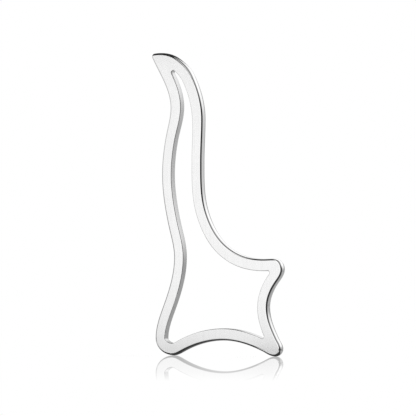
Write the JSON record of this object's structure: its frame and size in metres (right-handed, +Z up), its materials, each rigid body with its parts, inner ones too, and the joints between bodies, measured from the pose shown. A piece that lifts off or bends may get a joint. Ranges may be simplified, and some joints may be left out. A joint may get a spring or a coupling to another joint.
{
  "type": "french curve",
  "caption": "Open flat drawing template cut from one plate: a curved neck with a pointed horn above an arched base with rounded corners, in a band of nearly even width.",
  "frame": {"origin": "on the ground plane under the two feet, midway across the width and in the plate's middle plane", "axes": "+Z up along the neck to the horn, +X to the right as seen from the front, front face towards -Y"},
  "size_m": [0.0948, 0.006, 0.2],
  "materials": {
    "stainless_plate": "fine satin faces with mirror-polished rims and walls"
  },
  "bodies": {
    "root": {"curve_frame": "stainless_plate"}
  },
  "joints": []
}
